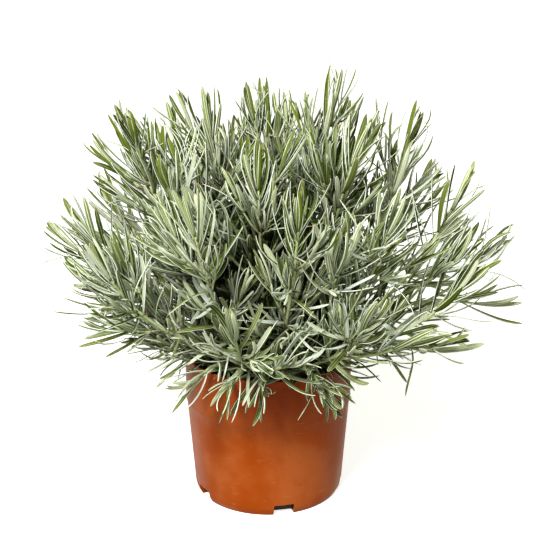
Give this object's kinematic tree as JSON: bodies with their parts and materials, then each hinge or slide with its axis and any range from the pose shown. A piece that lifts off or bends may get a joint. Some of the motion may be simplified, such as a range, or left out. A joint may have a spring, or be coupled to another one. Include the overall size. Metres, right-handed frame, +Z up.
{
  "type": "potted lavender",
  "caption": "Bushy young lavender plant, not yet in flower, growing from compost in a thin round terracotta-coloured plastic nursery pot with a collar below its rim.",
  "frame": {"origin": "middle of the pot's flat base, on the surface that the pot stands on", "axes": "+Z up along the pot's axis; -Y is the side with the fullest low leaves, seen as the front; +X to the right seen from the front"},
  "size_m": [0.3566, 0.3525, 0.3315],
  "materials": {
    "pot": "satin terracotta-coloured moulded plastic, slightly scuffed",
    "compost": null,
    "foliage": null
  },
  "bodies": {
    "root": {"leafy_stem_crown_01": "foliage", "leafy_stem_crown_02": "foliage", "leafy_stem_crown_03": "foliage", "leafy_stem_crown_04": "foliage", "leafy_stem_crown_05": "foliage", "leafy_stem_crown_06": "foliage", "leafy_stem_flank_01": "foliage", "leafy_stem_flank_02": "foliage", "leafy_stem_flank_03": "foliage", "leafy_stem_flank_04": "foliage", "leafy_stem_flank_05": "foliage", "leafy_stem_flank_06": "foliage", "leafy_stem_flank_07": "foliage", "leafy_stem_flank_08": "foliage", "leafy_stem_flank_09": "foliage", "leafy_stem_flank_10": "foliage", "leafy_stem_shoulder_01": "foliage", "leafy_stem_shoulder_02": "foliage", "leafy_stem_shoulder_03": "foliage", "leafy_stem_shoulder_04": "foliage", "leafy_stem_shoulder_05": "foliage", "leafy_stem_shoulder_06": "foliage", "leafy_stem_shoulder_07": "foliage", "leafy_stem_shoulder_08": "foliage", "leafy_stem_shoulder_09": "foliage", "leafy_stem_skirt_01": "foliage", "leafy_stem_skirt_02": "foliage", "leafy_stem_skirt_03": "foliage", "leafy_stem_skirt_04": "foliage", "leafy_stem_skirt_05": "foliage", "leafy_stem_skirt_06": "foliage", "leafy_stem_skirt_07": "foliage", "leafy_stem_skirt_08": "foliage", "leafy_stem_skirt_09": "foliage", "leafy_stem_skirt_10": "foliage", "leafy_stem_skirt_11": "foliage", "pot": "pot", "potting_compost": "compost"}
  },
  "joints": []
}
